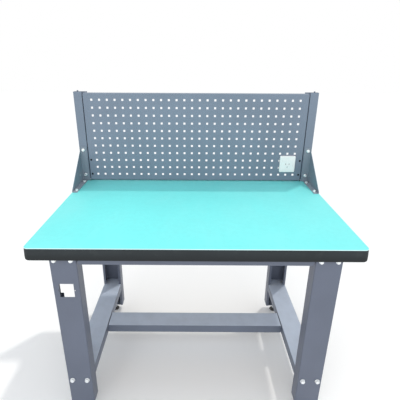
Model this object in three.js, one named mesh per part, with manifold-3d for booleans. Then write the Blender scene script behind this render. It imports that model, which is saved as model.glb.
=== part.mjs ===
// Workbench: a mat-covered top on folded steel legs, with a perforated panel along its back.
// Millimetres, +Z up, the front towards -Y. The origin is on the floor under the middle of the top.
import * as THREE from 'three';
import { mergeGeometries, mergeVertices } from 'three/addons/utils/BufferGeometryUtils.js';
import Module from 'manifold-3d';

const wasm = await Module();
wasm.setup();

// Fits
const seatGap = 0.3; // between two pieces that touch
const boltClearance = 0.5; // round a bolt in a punched hole
const notchClearance = 1; // round a rail where the leg lips are notched for it
const cutOverrun = 5; // how far a cut runs past the face that it opens
const weldOverlap = 1; // how far welded and folded stretches run into each other

// Facets
const foldSteps = 2;
const cornerSteps = 4;
const roundSides = 12;
const holeSides = 8;
const shankSides = 6;

// Worktop
const benchWidth = 1200;
const benchDepth = 750;
const surfaceHeight = 800;
const matThickness = 3;
const coreThickness = 47;
const bandThickness = 8;
const bandLean = 2; // how far the band's top edge lies inside its widest line
const bandTopRound = 1.5;
const bandBottomRound = 7;
const frontCornerRadius = 20;
const rearCornerRadius = 16;
const leastCornerRadius = 0.5;

// Folded sheet
const foldRadius = 2; // inside radius of every fold
const frameSheet = 2;
const panelSheet = 1.5;

// Legs
const legWidth = 98;
const legDepth = 57;
const legLip = 13;
const legSideInset = 78; // from the side of the top to the leg
const frontLegInset = 22; // from the front edge of the top to the front legs
const rearLegInset = 40;
const legBottomHeight = 45; // above the floor, with the feet in the middle of their travel
const footPlateThickness = 4;
const weldNutAcross = 19;
const weldNutHeight = 9;

// Switch window in the front left leg
const windowWidth = 54;
const windowHeight = 58;
const windowDrop = 188; // from the work surface to the middle of the window
const windowLipDrop = 22; // how far the lips are cut away below the window
const boxScrewSpacing = 60.3;
const boxScrewHoleRadius = 2.2;

// Rails and beams between the legs
const upperRailHeight = 28;
const lowerRailHeight = 40;
const lowerRailTop = 192;
const lowerRailInset = 0.5; // from each side of a leg to the rail beside it
const endPlateThickness = 4;
const railBoltSpacing = 60;
const topBoltDrop = 9.2; // from the top of the frame to the bolts just under it
const crossBeamWidth = 95;
const crossBoltSpacing = 50;
const crossBeamSetback = 3; // from each side rail to the beam's folded sheet
const crossPlateDrop = 10; // from the beam's top to its end plates
const topBeamDepth = 42;
const topBeamLip = 14;
const topBeamNotchRadius = 4;
const topBeamSetback = 3; // from each leg

// Levelling feet
const footRadius = 20;
const footHeight = 12;
const footRimHeight = 5;
const footBossRadius = 11;
const footBevel = 1.5;
const studRadius = 6;
const studTop = 84; // above the floor
const lockNutAcross = 19;
const lockNutHeight = 8;

// Uprights
const uprightFace = 41.5;
const uprightDepth = 28;
const uprightRearFlange = 62;
const uprightHeight = 454;
const uprightSideInset = 0.5; // from the side of the top to the upright
const uprightTabWidth = 8;
const uprightTabHeight = 5;
const uprightTabInset = 15.5; // from the upright's side to the middle of the tab

// Perforated panel
const panelClearance = 3; // to each upright
const panelBottomGap = 4;
const panelHeight = 445;
const panelLip = 20;
const panelCornerRadius = 8;
const holePitch = 38;
const holeSize = 10;
const holeEdgeMargin = 30; // least distance from the middle of a hole to the panel's edge
const accessHoleRadius = 4;
const accessHoleInset = 12;
const accessRows = [0, 2]; // counted up from the lowest row of square holes

// Gusset brackets
const gussetSetback = 3.5; // from the upright's side to the bracket's
const gussetReach = 186;
const gussetApex = 162;
const gussetNose = 9;
const gussetBackFlange = 34;
const gussetBackFlangeHeight = 182;
const gussetFootFlange = 24;
const gussetLowBoltHeight = 33;
const gussetHighBoltHeight = 165;
const gussetBoltInset = 17; // from the bracket's side
const footBoltInset = 14; // from the bracket's side
const footBoltNear = 30; // from the upright's face
const footBoltFar = 160;
const beadLength = 44;
const beadWidth = 8;
const beadHeight = 1.5;
const beadRise = 40;
const beadSetback = 34;

// Socket
const socketWidth = 80;
const socketHeight = 87;
const socketThickness = 8;
const socketCornerRadius = 5;
const socketSideInset = 77; // from the panel's side to the middle of the socket
const socketRise = 92.5; // from the panel's bottom to the middle of the socket
const socketBodyWidth = 48;
const socketBodyHeight = 50;
const socketBodyDepth = 20;
const slotWidth = 2.4;
const slotHeight = 8;
const slotDepth = 6;
const slotSpacing = 17.6;
const earthSlotDrop = 16; // from the pair, which is at mid-height
const boxSize = 76;
const boxWall = 2;
const boxEarWidth = 11;
const boxEarHeight = 10;
const cableEntryRadius = 10;
const screwRadius = 1.75;
const screwHeadRadius = 3.4;
const screwHeadHeight = 2;
const screwLength = 24;

// Bolts with a flange under the hexagon: sizes of one bolt each
const frameBolt = { radius: 5, flangeRadius: 10, flangeHeight: 2.5, across: 15, headHeight: 9, length: 16 };
const gussetBolt = { radius: 4, flangeRadius: 8.5, flangeHeight: 2, across: 13, headHeight: 7.5, length: 12 };
const footBolt = { ...gussetBolt, length: 32 };
const topBolt = { ...gussetBolt, length: 16 };

// Places that follow from the sizes above
const coreTop = surfaceHeight - matThickness;
const coreBottom = coreTop - coreThickness;
const benchFront = -benchDepth / 2;
const benchRear = benchDepth / 2;
const legCentreX = benchWidth / 2 - legSideInset - legWidth / 2;
const legInnerX = legCentreX - legWidth / 2;
const frontLegFace = benchFront + frontLegInset;
const rearLegFace = benchRear - rearLegInset;
const legHeight = coreBottom - seatGap - legBottomHeight;
const railWidth = legWidth - 2 * (frameSheet + foldRadius); // clear of the folds inside the legs
const railLength = rearLegFace - frontLegFace - 2 * (frameSheet + seatGap);
const tongueLength = legDepth - frameSheet; // of a lower rail, inside a leg
const lowerRailWidth = legWidth - 2 * lowerRailInset;
const railCentreY = (frontLegFace + rearLegFace) / 2;
const upperRailTop = coreBottom - seatGap;
const upperRailBottom = upperRailTop - upperRailHeight;
const upperBoltHeight = upperRailTop - topBoltDrop;
const lowerRailBottom = lowerRailTop - lowerRailHeight;
const lowerBoltHeight = lowerRailBottom + lowerRailHeight / 2;
const windowHeightMiddle = surfaceHeight - windowDrop;
const uprightOuterX = benchWidth / 2 - uprightSideInset;
const panelFront = benchRear - uprightDepth;
const panelWidth = 2 * (uprightOuterX - uprightFace - panelClearance);
const panelBottom = surfaceHeight + panelBottomGap;
const panelDepth = uprightDepth - frameSheet - seatGap;
const socketX = panelWidth / 2 - socketSideInset;
const socketZ = panelBottom + socketRise;
const gussetOuterX = uprightOuterX - gussetSetback;

// Materials
const finishes = {
  mat: new THREE.MeshStandardMaterial({ color: 0x86e8e0, roughness: 0.5, metalness: 0 }),
  board: new THREE.MeshStandardMaterial({ color: 0xb59a72, roughness: 0.8, metalness: 0 }),
  edgeBand: new THREE.MeshStandardMaterial({ color: 0x34393b, roughness: 0.6, metalness: 0 }),
  framePaint: new THREE.MeshStandardMaterial({ color: 0x747d8b, roughness: 0.55, metalness: 0.1 }),
  panelPaint: new THREE.MeshStandardMaterial({ color: 0x7f8d9f, roughness: 0.55, metalness: 0.1 }),
  zinc: new THREE.MeshStandardMaterial({ color: 0xd2d6d8, roughness: 0.3, metalness: 0.9 }),
  footPlastic: new THREE.MeshStandardMaterial({ color: 0x1e2022, roughness: 0.7, metalness: 0 }),
  socketWhite: new THREE.MeshStandardMaterial({ color: 0xf4f4f1, roughness: 0.35, metalness: 0 }),
  boxSteel: new THREE.MeshStandardMaterial({ color: 0xa9adb0, roughness: 0.45, metalness: 0.7 }),
};
for (const finish of Object.values(finishes)) finish.flatShading = true;

// Geometry, closed and with shared corners
function welded(geometry) {
  const bare = geometry.clone();
  bare.deleteAttribute('normal');
  bare.deleteAttribute('uv');
  return mergeVertices(bare);
}

function solidOf(geometry) {
  const shared = welded(geometry);
  const vertProperties = shared.attributes.position.array;
  const triVerts = new Uint32Array(shared.index.array);
  return new wasm.Manifold(new wasm.Mesh({ numProp: 3, vertProperties, triVerts }));
}

function geometryOf(solid) {
  const { vertProperties, triVerts } = solid.getMesh();
  const geometry = new THREE.BufferGeometry();
  geometry.setAttribute('position', new THREE.BufferAttribute(vertProperties, 3));
  geometry.setIndex(new THREE.BufferAttribute(triVerts, 1));
  return geometry;
}

function joined(first, ...others) {
  return geometryOf(others.reduce((solid, other) => solid.add(solidOf(other)), solidOf(first)));
}

function cutAway(body, ...tools) {
  return geometryOf(tools.reduce((solid, tool) => solid.subtract(solidOf(tool)), solidOf(body)));
}

// Basic shapes, centred on the origin
const axes = {
  x: [new THREE.Vector3(0, 1, 0), new THREE.Vector3(0, 0, 1), new THREE.Vector3(1, 0, 0)],
  y: [new THREE.Vector3(1, 0, 0), new THREE.Vector3(0, 0, 1), new THREE.Vector3(0, -1, 0)],
  z: [new THREE.Vector3(1, 0, 0), new THREE.Vector3(0, 1, 0), new THREE.Vector3(0, 0, 1)],
};

function turnedTo(axis, geometry) {
  return geometry.applyMatrix4(new THREE.Matrix4().makeBasis(...axes[axis]));
}

function extruded(shape, length, axis) {
  const geometry = new THREE.ExtrudeGeometry(shape, { depth: length, bevelEnabled: false, steps: 1 });
  return turnedTo(axis, geometry.translate(0, 0, -length / 2));
}

function block(width, depth, height) {
  return new THREE.BoxGeometry(width, depth, height);
}

function bar(radius, length, axis, sides = roundSides) {
  const geometry = new THREE.CylinderGeometry(radius, radius, length, sides);
  return turnedTo(axis, geometry.rotateX(Math.PI / 2));
}

// A hole's facets lie outside its radius, so that a bar of that radius always fits.
function hole(radius, length, axis, sides = holeSides) {
  return bar(radius / Math.cos(Math.PI / sides), length, axis, sides);
}

function hexagon(across, height) {
  return bar(across / Math.sqrt(3), height, 'z', 6);
}

// Outlines
const at = (x, y) => new THREE.Vector2(x, y);
const leftOf = (direction) => at(-direction.y, direction.x);

function arcPoints(centre, radius, start, sweep, steps) {
  return Array.from({ length: steps + 1 }, (_, step) => {
    const angle = start + (sweep * step) / steps;
    return at(Math.cos(angle), Math.sin(angle)).multiplyScalar(radius).add(centre);
  });
}

// Rectangle with four corner radii, front left first and anticlockwise, drawn in by an inset.
function roundedOutline(width, height, radii, inset = 0) {
  return radii.flatMap((radius, corner) => {
    const round = Math.max(radius - inset, leastCornerRadius);
    const sideX = corner === 0 || corner === 3 ? -1 : 1;
    const sideY = corner < 2 ? -1 : 1;
    const centre = at(sideX * (width / 2 - inset - round), sideY * (height / 2 - inset - round));
    return arcPoints(centre, round, Math.PI * (1 + corner / 2), Math.PI / 2, cornerSteps);
  });
}

// Folded sheet: the corners lie on its outer face, in order, with the sheet on their left.
function foldedOutline(corners, sheet) {
  const outerFace = [];
  const innerFace = [];
  corners.forEach((corner, index) => {
    const arriving = corner.clone().sub(corners[index - 1] ?? corner).normalize();
    const leaving = (corners[index + 1] ?? corner).clone().sub(corner).normalize();
    if (index === 0 || index === corners.length - 1) {
      const inward = leftOf(index === 0 ? leaving : arriving);
      outerFace.push(corner);
      innerFace.push(corner.clone().addScaledVector(inward, sheet));
      return;
    }
    const turn = Math.atan2(arriving.cross(leaving), arriving.dot(leaving));
    const outerRadius = foldRadius + sheet;
    const centre = corner.clone().addScaledVector(arriving, -outerRadius * Math.tan(turn / 2));
    centre.addScaledVector(leftOf(arriving), outerRadius);
    const start = Math.atan2(-arriving.x, arriving.y);
    outerFace.push(...arcPoints(centre, outerRadius, start, turn, foldSteps));
    innerFace.push(...arcPoints(centre, foldRadius, start, turn, foldSteps));
  });
  return [...outerFace, ...innerFace.reverse()];
}

function foldedSheet(corners, sheet, length, axis) {
  return extruded(new THREE.Shape(foldedOutline(corners, sheet)), length, axis);
}

// Ring round an outline: the profile's points, anticlockwise, give an inset and a height each.
function rimRing(outlineAt, profile) {
  const rings = profile.map(({ x, y }) => outlineAt(x).map((corner) => [corner.x, corner.y, y]));
  const around = rings[0].length;
  const indices = rings.flatMap((ring, level) => ring.flatMap((_, place) => {
    const nextLevel = (level + 1) % rings.length;
    const nextPlace = (place + 1) % around;
    const here = level * around + place;
    const beside = level * around + nextPlace;
    const above = nextLevel * around + place;
    const across = nextLevel * around + nextPlace;
    return [here, across, beside, here, above, across];
  }));
  const geometry = new THREE.BufferGeometry();
  geometry.setAttribute('position', new THREE.Float32BufferAttribute(rings.flat(2), 3));
  geometry.setIndex(indices);
  return geometry;
}

// Worktop
const topRadii = [frontCornerRadius, frontCornerRadius, rearCornerRadius, rearCornerRadius];
const topOutline = (inset) => roundedOutline(benchWidth, benchDepth, topRadii, inset);

const footBoltPlaces = [-1, 1].flatMap((side) => [footBoltNear, footBoltFar].map((distance) => (
  at(side * (gussetOuterX - footBoltInset), panelFront - distance)
)));

function boltedThrough(geometry, holeRadius, length, places = footBoltPlaces) {
  return cutAway(geometry, ...places.map(({ x, y }) => hole(holeRadius, length, 'z').translate(x, y, 0)));
}

function worktopCore() {
  const board = extruded(new THREE.Shape(topOutline(bandThickness + seatGap)), coreThickness, 'z');
  return boltedThrough(board, footBolt.radius + seatGap, coreThickness + cutOverrun);
}

function worktopMat() {
  const sheet = extruded(new THREE.Shape(topOutline(bandLean)), matThickness - seatGap, 'z');
  return boltedThrough(sheet, footBolt.radius + boltClearance, matThickness + cutOverrun);
}

// The outer face bulges: a round lower edge, a face that leans in as it rises, a small top round.
function edgeBand() {
  const faceHeight = coreThickness - bandTopRound - bandBottomRound;
  const lowerCentre = at(bandBottomRound, bandBottomRound);
  const lowerRound = arcPoints(lowerCentre, bandBottomRound, -Math.PI / 2, -Math.PI / 2, cornerSteps);
  const riseShares = [0.35, 0.7];
  const face = riseShares.map((share) => at(bandLean * share ** 2, bandBottomRound + faceHeight * share));
  const upperCentre = at(bandLean + bandTopRound, coreThickness - bandTopRound);
  const upperRound = arcPoints(upperCentre, bandTopRound, Math.PI, -Math.PI / 2, foldSteps);
  const inside = [at(bandThickness, coreThickness), at(bandThickness, 0)];
  return rimRing(topOutline, [...lowerRound, ...face, ...upperRound, ...inside].reverse());
}

// Legs: the web faces -Y, the lips are at the back, and the bottom is at zero height.
function leg({ hasWindow = false }) {
  const [x, y] = [legWidth / 2, legDepth / 2];
  const section = [at(legLip - x, y), at(-x, y), at(-x, -y), at(x, -y), at(x, y), at(x - legLip, y)];
  const channel = foldedSheet(section, frameSheet, legHeight, 'z').translate(0, 0, legHeight / 2);
  const innerWidth = legWidth - 2 * frameSheet;
  const plate = block(innerWidth + frameSheet, legDepth - 2 * frameSheet, footPlateThickness);
  plate.translate(0, 0, footPlateThickness / 2);
  const weldNut = hexagon(weldNutAcross, weldNutHeight + weldOverlap);
  weldNut.translate(0, 0, footPlateThickness + (weldNutHeight - weldOverlap) / 2);

  const lipCut = (bottom, top) => (
    block(innerWidth, 2 * (frameSheet + foldRadius), top - bottom).translate(0, y, (bottom + top) / 2)
  );
  const toLeg = (height) => height - legBottomHeight;
  const upperNotchBottom = toLeg(upperRailBottom) - notchClearance;
  const windowZ = toLeg(windowHeightMiddle);
  const windowNotchBottom = windowZ - windowHeight / 2 - windowLipDrop;
  const notchBottom = hasWindow ? Math.min(windowNotchBottom, upperNotchBottom) : upperNotchBottom;
  const cuts = [
    lipCut(notchBottom, legHeight + cutOverrun),
    lipCut(toLeg(lowerRailBottom) - notchClearance, toLeg(lowerRailTop) + notchClearance),
    hole(studRadius + seatGap, 2 * (weldNutHeight + footPlateThickness + cutOverrun), 'z', roundSides),
  ];
  const webCut = (tool, place, height) => cuts.push(tool.translate(place, -y, height));
  for (const side of [-1, 1]) {
    for (const [{ radius }, height] of [[topBolt, upperBoltHeight], [frameBolt, lowerBoltHeight]]) {
      const boltHole = hole(radius + boltClearance, 2 * cutOverrun, 'y');
      webCut(boltHole, (side * railBoltSpacing) / 2, toLeg(height));
    }
    if (hasWindow) {
      webCut(hole(boxScrewHoleRadius, 2 * cutOverrun, 'y'), (side * boxScrewSpacing) / 2, windowZ);
    }
  }
  if (hasWindow) webCut(block(windowWidth, 2 * cutOverrun, windowHeight), 0, windowZ);
  return cutAway(joined(channel, plate, weldNut), ...cuts);
}

// Rails and the cross beam: channels along Y with the web up and a tapped plate in each end. The folded
// sheet stops at the setback from the plates' faces, and the plates stop at their drop from its top.
const plainEnds = { bolt: frameBolt, boltRise: 0, setback: weldOverlap, plateDrop: frameSheet / 2 };

function railChannel(width, height, length, boltSpacing, { bolt, boltRise, setback, plateDrop }) {
  const [x, z] = [width / 2, height / 2];
  const section = [at(x, -z), at(x, z), at(-x, z), at(-x, -z)];
  const channel = foldedSheet(section, frameSheet, length - 2 * setback, 'y');
  const endY = (length - endPlateThickness) / 2;
  const [plateTop, plateBottom] = [z - plateDrop, weldOverlap - z];
  const ends = [-1, 1];
  const plates = ends.map((end) => (
    block(width - frameSheet, endPlateThickness, plateTop - plateBottom)
      .translate(0, end * endY, (plateTop + plateBottom) / 2)
  ));
  const holes = ends.flatMap((end) => [-1, 1].map((side) => (
    hole(bolt.radius + seatGap, 2 * (endPlateThickness + cutOverrun), 'y')
      .translate((side * boltSpacing) / 2, end * endY, boltRise)
  )));
  return cutAway(joined(channel, ...plates), ...holes);
}

function upperSideRail() {
  const boltRise = upperRailHeight / 2 - topBoltDrop;
  const ends = { ...plainEnds, bolt: topBolt, boltRise };
  return railChannel(railWidth, upperRailHeight, railLength, railBoltSpacing, ends);
}

// Between the legs a lower rail is nearly as wide as they are. A tongue, narrow enough for the open
// side of the leg and with the end plate at its end, runs on into each leg.
function lowerSideRail() {
  const rail = railChannel(lowerRailWidth, lowerRailHeight, railLength, railBoltSpacing, plainEnds);
  const holeLength = lowerRailWidth + 2 * cutOverrun;
  const crossHoles = [-1, 1].map((side) => (
    hole(frameBolt.radius + boltClearance, holeLength, 'x').translate(0, (side * crossBoltSpacing) / 2, 0)
  ));
  const cutY = (railLength - tongueLength + cutOverrun) / 2;
  const shoulders = [-1, 1].flatMap((end) => [-1, 1].map((side) => (
    block(railWidth, tongueLength + cutOverrun, lowerRailHeight + cutOverrun)
      .translate(side * railWidth, end * cutY, 0)
  )));
  return cutAway(rail, ...crossHoles, ...shoulders);
}

const crossBeamLength = 2 * (legCentreX - lowerRailWidth / 2 - seatGap);

function crossBeam() {
  const ends = { ...plainEnds, setback: crossBeamSetback, plateDrop: crossPlateDrop };
  return railChannel(crossBeamWidth, lowerRailHeight, crossBeamLength, crossBoltSpacing, ends);
}

// Top beams: the face is at -Y, the upper flange runs back under the top.
function topBeam() {
  const length = 2 * (legInnerX - topBeamSetback);
  const [y, z] = [topBeamDepth / 2, upperRailHeight / 2];
  const section = [at(y, z), at(-y, z), at(-y, -z), at(topBeamLip - y, -z)];
  const channel = foldedSheet(section, frameSheet, length - 2 * weldOverlap, 'x');
  const ends = [-1, 1];
  const plates = ends.map((end) => (
    block(2 * frameSheet, topBeamDepth - frameSheet, upperRailHeight - frameSheet)
      .translate(end * (length / 2 - frameSheet), 0, 0)
  ));
  const notches = ends.map((end) => (
    bar(topBeamNotchRadius, topBeamDepth + cutOverrun, 'y').translate((end * length) / 2, 0, -z)
  ));
  return cutAway(joined(channel, ...plates), ...notches);
}

// Levelling feet: a round base with a raised boss and the stud, turned about Z.
function levellingFoot() {
  const profile = [
    at(0, 0),
    at(footRadius - footBevel, 0),
    at(footRadius, footBevel),
    at(footRadius, footRimHeight),
    at(footBossRadius, footHeight),
    at(studRadius, footHeight),
    at(studRadius, studTop - footBevel),
    at(studRadius - footBevel, studTop),
    at(0, studTop),
  ];
  return joined(new THREE.LatheGeometry(profile, roundSides).rotateX(Math.PI / 2));
}

function lockNut() {
  const bore = hole(studRadius + seatGap, lockNutHeight + cutOverrun, 'z', roundSides);
  return cutAway(hexagon(lockNutAcross, lockNutHeight), bore);
}

// Bolts: the flange rests on zero height, the shank runs down from it.
function flangeBolt({ radius, flangeRadius, flangeHeight, across, headHeight, length }) {
  const shank = bar(radius, length + weldOverlap, 'z', shankSides);
  shank.translate(0, 0, (weldOverlap - length) / 2);
  const flange = bar(flangeRadius, flangeHeight, 'z').translate(0, 0, flangeHeight / 2);
  const head = hexagon(across, headHeight - weldOverlap).translate(0, 0, (headHeight + weldOverlap) / 2);
  return joined(shank, flange, head);
}

// Sections for the left side are those of the right side, mirrored.
function sided(corners, side) {
  return side > 0 ? corners : corners.map(({ x, y }) => at(-x, y)).reverse();
}

// Uprights: a channel open towards the middle of the bench, its bottom at zero height.
function upright(side) {
  const outer = uprightOuterX;
  const [front, rear] = [panelFront, benchRear];
  const section = [
    at(outer - uprightFace, front),
    at(outer, front),
    at(outer, rear),
    at(outer - uprightRearFlange, rear),
  ];
  const height = uprightHeight - seatGap;
  const channel = foldedSheet(sided(section, side), frameSheet, height, 'z').translate(0, 0, height / 2);
  const tab = block(uprightTabWidth, frameSheet, uprightTabHeight + weldOverlap);
  tab.translate(
    side * (outer - uprightTabInset),
    rear - frameSheet / 2,
    height + (uprightTabHeight - weldOverlap) / 2,
  );
  const holes = [gussetLowBoltHeight, gussetHighBoltHeight].map((boltHeight) => (
    hole(gussetBolt.radius + boltClearance, 2 * cutOverrun, 'y')
      .translate(side * (gussetOuterX - gussetBoltInset), front, boltHeight - seatGap)
  ));
  return cutAway(joined(channel, tab), ...holes);
}

// Gussets: zero is on the top of the bench, at the upright's face and the bracket's outer side.
function gusset(side) {
  const foldOuter = foldRadius + frameSheet;
  const backY = -seatGap;
  const footZ = seatGap;
  const webLine = [
    at(backY - foldOuter, footZ + foldOuter),
    at(backY - foldOuter, gussetApex),
    at(-gussetReach, gussetNose + footZ),
    at(-gussetReach, footZ + foldOuter),
  ];
  const web = extruded(new THREE.Shape(webLine), frameSheet, 'x');
  web.translate((-side * frameSheet) / 2, 0, 0);

  const upStand = foldOuter + weldOverlap;
  const footSection = [at(-gussetFootFlange, footZ), at(0, footZ), at(0, footZ + upStand)];
  const footLength = gussetReach + backY - foldOuter;
  const footFlange = foldedSheet(sided(footSection, side), frameSheet, footLength, 'y');
  footFlange.translate(0, footLength / 2 - gussetReach, 0);

  const backSection = [at(0, backY - upStand), at(0, backY), at(-gussetBackFlange, backY)];
  const backLength = gussetBackFlangeHeight - foldOuter;
  const backFlange = foldedSheet(sided(backSection, side), frameSheet, backLength, 'z');
  backFlange.translate(0, 0, footZ + foldOuter + backLength / 2);

  const beadLine = roundedOutline(beadLength, beadWidth, Array(4).fill(beadWidth / 2));
  const bead = extruded(new THREE.Shape(beadLine), frameSheet / 2 + beadHeight, 'x');
  bead.translate(-side * (frameSheet + (beadHeight - frameSheet / 2) / 2), -beadSetback, beadRise);

  const backHoles = [gussetLowBoltHeight, gussetHighBoltHeight].map((height) => (
    hole(gussetBolt.radius + boltClearance, 2 * cutOverrun, 'y')
      .translate(-side * gussetBoltInset, backY, height)
  ));
  const footHoles = [footBoltNear, footBoltFar].map((distance) => (
    hole(footBolt.radius + boltClearance, 2 * cutOverrun, 'z')
      .translate(-side * footBoltInset, -distance, footZ)
  ));
  return cutAway(joined(web, footFlange, backFlange, bead), ...backHoles, ...footHoles);
}

// Perforated panel: a folded tray, with zero at the middle of its front face.
const panelRadii = Array(4).fill(panelCornerRadius);
const panelOutline = (inset) => roundedOutline(panelWidth, panelHeight, panelRadii, inset);
const columns = Math.floor((panelWidth - 2 * holeEdgeMargin) / holePitch) + 1;
const rows = Math.floor((panelHeight - 2 * holeEdgeMargin) / holePitch) + 1;
const rowPlace = (row) => (row - (rows - 1) / 2) * holePitch;
const columnPlace = (column) => (column - (columns - 1) / 2) * holePitch;
const socketPlace = at(socketX, socketRise - panelHeight / 2);
const panelCentreZ = panelBottom + panelHeight / 2;

// Cutting shapes for every hole through the panel's face, gathered into one.
function panelHoles() {
  const through = 2 * cutOverrun;
  const holes = [block(windowWidth, through, windowHeight).translate(socketPlace.x, 0, socketPlace.y)];
  const clearOfSocket = (x, z) => (
    Math.abs(x - socketPlace.x) > (windowWidth + holeSize) / 2
    || Math.abs(z - socketPlace.y) > (windowHeight + holeSize) / 2
  );
  for (let row = 0; row < rows; row += 1) {
    for (let column = 0; column < columns; column += 1) {
      const [x, z] = [columnPlace(column), rowPlace(row)];
      if (clearOfSocket(x, z)) holes.push(block(holeSize, through, holeSize).translate(x, 0, z));
    }
  }
  for (const side of [-1, 1]) {
    const screwX = socketPlace.x + (side * boxScrewSpacing) / 2;
    holes.push(hole(boxScrewHoleRadius, through, 'y').translate(screwX, 0, socketPlace.y));
    for (const row of accessRows) {
      const accessX = side * (panelWidth / 2 - accessHoleInset);
      holes.push(bar(accessHoleRadius, through, 'y').translate(accessX, 0, rowPlace(row)));
    }
  }
  return mergeGeometries(holes);
}

function pegboardPanel() {
  const foldOuter = foldRadius + panelSheet;
  const plate = extruded(new THREE.Shape(panelOutline(foldOuter)), panelSheet, 'y');
  const face = cutAway(plate.translate(0, panelSheet / 2, 0), panelHoles());
  const section = [at(foldOuter + weldOverlap, 0), at(0, 0), at(0, -panelDepth), at(panelLip, -panelDepth)];
  const rim = turnedTo('y', rimRing(panelOutline, foldedOutline(section, panelSheet)));
  return joined(face, rim);
}

// Socket: zero is at the middle of the panel's front face behind it.
function socketPlate() {
  const radii = Array(4).fill(socketCornerRadius);
  const cover = extruded(
    new THREE.Shape(roundedOutline(socketWidth, socketHeight, radii)),
    socketThickness,
    'y',
  ).translate(0, -seatGap - socketThickness / 2, 0);
  const body = block(socketBodyWidth, socketBodyDepth + weldOverlap, socketBodyHeight);
  body.translate(0, (socketBodyDepth - weldOverlap) / 2 - seatGap, 0);
  const front = -seatGap - socketThickness;
  const slot = (x, z) => block(slotWidth, 2 * slotDepth, slotHeight).translate(x, front, z);
  const screwSeats = [-1, 1].flatMap((side) => {
    const x = (side * boxScrewSpacing) / 2;
    return [
      hole(screwRadius + seatGap, 2 * (socketThickness + cutOverrun), 'y').translate(x, 0, 0),
      hole(screwHeadRadius + seatGap, 2 * (screwHeadHeight + seatGap), 'y', roundSides)
        .translate(x, front, 0),
    ];
  });
  return cutAway(
    joined(cover, body),
    slot(-slotSpacing / 2, 0),
    slot(slotSpacing / 2, 0),
    slot(0, -earthSlotDrop),
    ...screwSeats,
  );
}

const boxFront = panelSheet + seatGap;
const boxDepth = uprightDepth - boxFront;

// Back box: open to the front, with an ear behind each screw and a cable entry underneath.
function socketBackBox() {
  const middle = boxFront + boxDepth / 2;
  const hollow = boxSize - 2 * boxWall;
  const shell = cutAway(
    block(boxSize, boxDepth, boxSize).translate(0, middle, 0),
    block(hollow, boxDepth, hollow).translate(0, middle - boxWall, 0),
  );
  const ears = [-1, 1].map((side) => (
    block(boxEarWidth, boxDepth - boxWall / 2, boxEarHeight)
      .translate(side * ((boxSize - boxWall - boxEarWidth) / 2), middle - boxWall / 4, 0)
  ));
  const bores = [-1, 1].map((side) => (
    hole(screwRadius + seatGap, 2 * (screwLength - socketThickness + cutOverrun), 'y')
      .translate((side * boxScrewSpacing) / 2, 0, 0)
  ));
  const cableEntry = bar(cableEntryRadius, 2 * cutOverrun, 'z').translate(0, middle, -boxSize / 2);
  return cutAway(joined(shell, ...ears), ...bores, cableEntry);
}

function socketScrew() {
  const head = bar(screwHeadRadius, screwHeadHeight, 'z').translate(0, 0, -screwHeadHeight / 2);
  const shankLength = screwLength - screwHeadHeight + weldOverlap;
  const shank = bar(screwRadius, shankLength, 'z', shankSides).translate(0, 0, shankLength / 2 - screwLength);
  return joined(head, shank);
}

// Assembly
const bench = new THREE.Group();

function place(name, geometry, finish, [x, y, z], [turnX, turnY, turnZ] = [0, 0, 0]) {
  const mesh = new THREE.Mesh(welded(geometry), finish);
  mesh.name = name;
  mesh.position.set(x, y, z);
  mesh.rotation.set(turnX, turnY, turnZ);
  bench.add(mesh);
}

const halfTurn = Math.PI;
const quarterTurn = Math.PI / 2;
const sides = [['left', -1], ['right', 1]];
const { mat, board, edgeBand: bandFinish, framePaint, panelPaint, zinc } = finishes;

place('worktop_core', worktopCore(), board, [0, 0, coreBottom + coreThickness / 2]);
place('worktop_mat', worktopMat(), mat, [0, 0, surfaceHeight - (matThickness - seatGap) / 2]);
place('edge_band', edgeBand(), bandFinish, [0, 0, coreBottom]);

const legPlaces = sides.flatMap(([sideName, side]) => [
  { name: `front_${sideName}`, x: side * legCentreX, end: -1, hasWindow: side < 0 },
  { name: `rear_${sideName}`, x: side * legCentreX, end: 1, hasWindow: false },
]);
for (const { name, x, end, hasWindow } of legPlaces) {
  const legFace = end < 0 ? frontLegFace : rearLegFace;
  const legY = legFace - (end * legDepth) / 2;
  const turn = end < 0 ? 0 : halfTurn;
  place(`leg_${name}`, leg({ hasWindow }), framePaint, [x, legY, legBottomHeight], [0, 0, turn]);
  place(`levelling_foot_${name}`, levellingFoot(), finishes.footPlastic, [x, legY, 0]);
  const nutHeight = legBottomHeight - seatGap - lockNutHeight / 2;
  place(`foot_lock_nut_${name}`, lockNut(), zinc, [x, legY, nutHeight]);
  for (const [boltName, boltSide] of sides) {
    const boltX = x + (boltSide * railBoltSpacing) / 2;
    const seatY = legFace + end * seatGap;
    const tilt = [-end * quarterTurn, 0, 0];
    const bolts = { top: [topBolt, upperBoltHeight], rail: [frameBolt, lowerBoltHeight] };
    for (const [level, [bolt, height]] of Object.entries(bolts)) {
      place(`${level}_bolt_${name}_${boltName}`, flangeBolt(bolt), zinc, [boltX, seatY, height], tilt);
    }
  }
}

for (const [sideName, side] of sides) {
  const x = side * legCentreX;
  const upperZ = upperRailBottom + upperRailHeight / 2;
  const lowerZ = lowerRailBottom + lowerRailHeight / 2;
  place(`upper_side_rail_${sideName}`, upperSideRail(), framePaint, [x, railCentreY, upperZ]);
  place(`lower_side_rail_${sideName}`, lowerSideRail(), framePaint, [x, railCentreY, lowerZ]);
  const seatX = side * (legCentreX - lowerRailWidth / 2 + frameSheet + seatGap);
  for (const [boltName, end] of [['front', -1], ['rear', 1]]) {
    const boltY = railCentreY + (end * crossBoltSpacing) / 2;
    const tilt = [0, side * quarterTurn, 0];
    place(`cross_bolt_${sideName}_${boltName}`, flangeBolt(frameBolt), zinc, [seatX, boltY, lowerZ], tilt);
  }
}

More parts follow.
